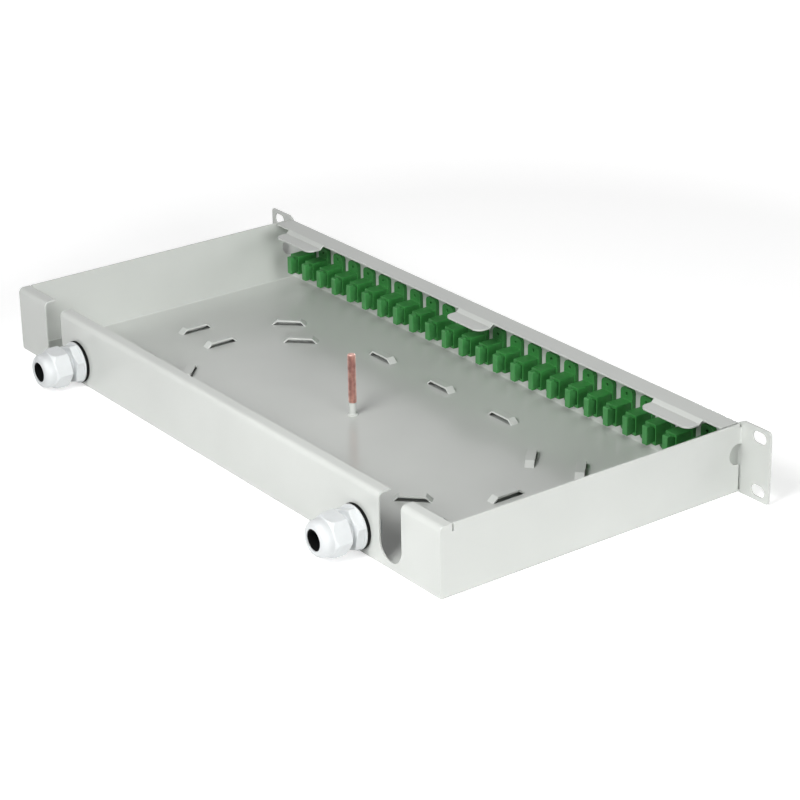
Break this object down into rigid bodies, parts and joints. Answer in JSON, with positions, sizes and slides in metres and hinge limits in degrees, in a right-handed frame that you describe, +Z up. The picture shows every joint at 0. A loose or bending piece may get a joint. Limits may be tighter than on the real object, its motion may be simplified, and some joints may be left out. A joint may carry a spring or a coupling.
{
  "type": "fibre patch panel",
  "caption": "Open sheet-steel rack tray with a row of capped fibre adapters in its front panel, two screw-down cable glands and open cable slots at the rear.",
  "frame": {"origin": "middle of the four rack slots, on the rear face of the ears, which bears on the rack's rails", "axes": "+X to the right seen from the front, +Y to the rear into the rack, +Z up"},
  "size_m": [0.4826, 0.2529, 0.0436],
  "materials": {
    "powder_coat": "light grey powder coat, low sheen",
    "green_plastic": "moulded, satin",
    "white_polyamide": "moulded, slightly glossy",
    "black_rubber": "matt",
    "copper_plate": "copper-plated thread above a painted shank"
  },
  "bodies": {
    "panel": {"chassis": "powder_coat", "adapter_01": "green_plastic", "adapter_02": "green_plastic", "adapter_03": "green_plastic", "adapter_04": "green_plastic", "adapter_05": "green_plastic", "adapter_06": "green_plastic", "adapter_07": "green_plastic", "adapter_08": "green_plastic", "adapter_09": "green_plastic", "adapter_10": "green_plastic", "adapter_11": "green_plastic", "adapter_12": "green_plastic", "adapter_13": "green_plastic", "adapter_14": "green_plastic", "adapter_15": "green_plastic", "adapter_16": "green_plastic", "adapter_17": "green_plastic", "adapter_18": "green_plastic", "adapter_19": "green_plastic", "adapter_20": "green_plastic", "adapter_21": "green_plastic", "adapter_22": "green_plastic", "adapter_23": "green_plastic", "adapter_24": "green_plastic", "rear_dust_caps": "green_plastic", "front_dust_caps": "green_plastic", "gland_bodies": "white_polyamide", "gland_lock_nuts": "white_polyamide", "gland_gaskets": "black_rubber", "tray_stud": "copper_plate"},
    "gland_seal_left": {"gland_seal_left": "black_rubber"},
    "gland_nut_left": {"gland_nut_left": "white_polyamide"},
    "gland_seal_right": {"gland_seal_right": "black_rubber"},
    "gland_nut_right": {"gland_nut_right": "white_polyamide"}
  },
  "joints": [
    {"name": "gland_advance_left", "type": "slide", "parent": "panel", "child": "gland_seal_left", "axis": [0, 1, 0], "range_m": [0, 0.003]},
    {"name": "gland_turn_left", "type": "hinge", "parent": "gland_seal_left", "child": "gland_nut_left", "pos_m": [-0.146, 0.2181, -0.00683], "axis": [0, 1, 0], "range_deg": [0, 720]},
    {"name": "gland_advance_right", "type": "slide", "parent": "panel", "child": "gland_seal_right", "axis": [0, 1, 0], "range_m": [0, 0.003]},
    {"name": "gland_turn_right", "type": "hinge", "parent": "gland_seal_right", "child": "gland_nut_right", "pos_m": [0.146, 0.2181, -0.00683], "axis": [0, 1, 0], "range_deg": [0, 720]}
  ],
  "couplings": [
    {"joint": "gland_advance_left", "follows": "gland_turn_left", "m_per_rad": 0.00023873},
    {"joint": "gland_advance_right", "follows": "gland_turn_right", "m_per_rad": 0.00023873}
  ]
}
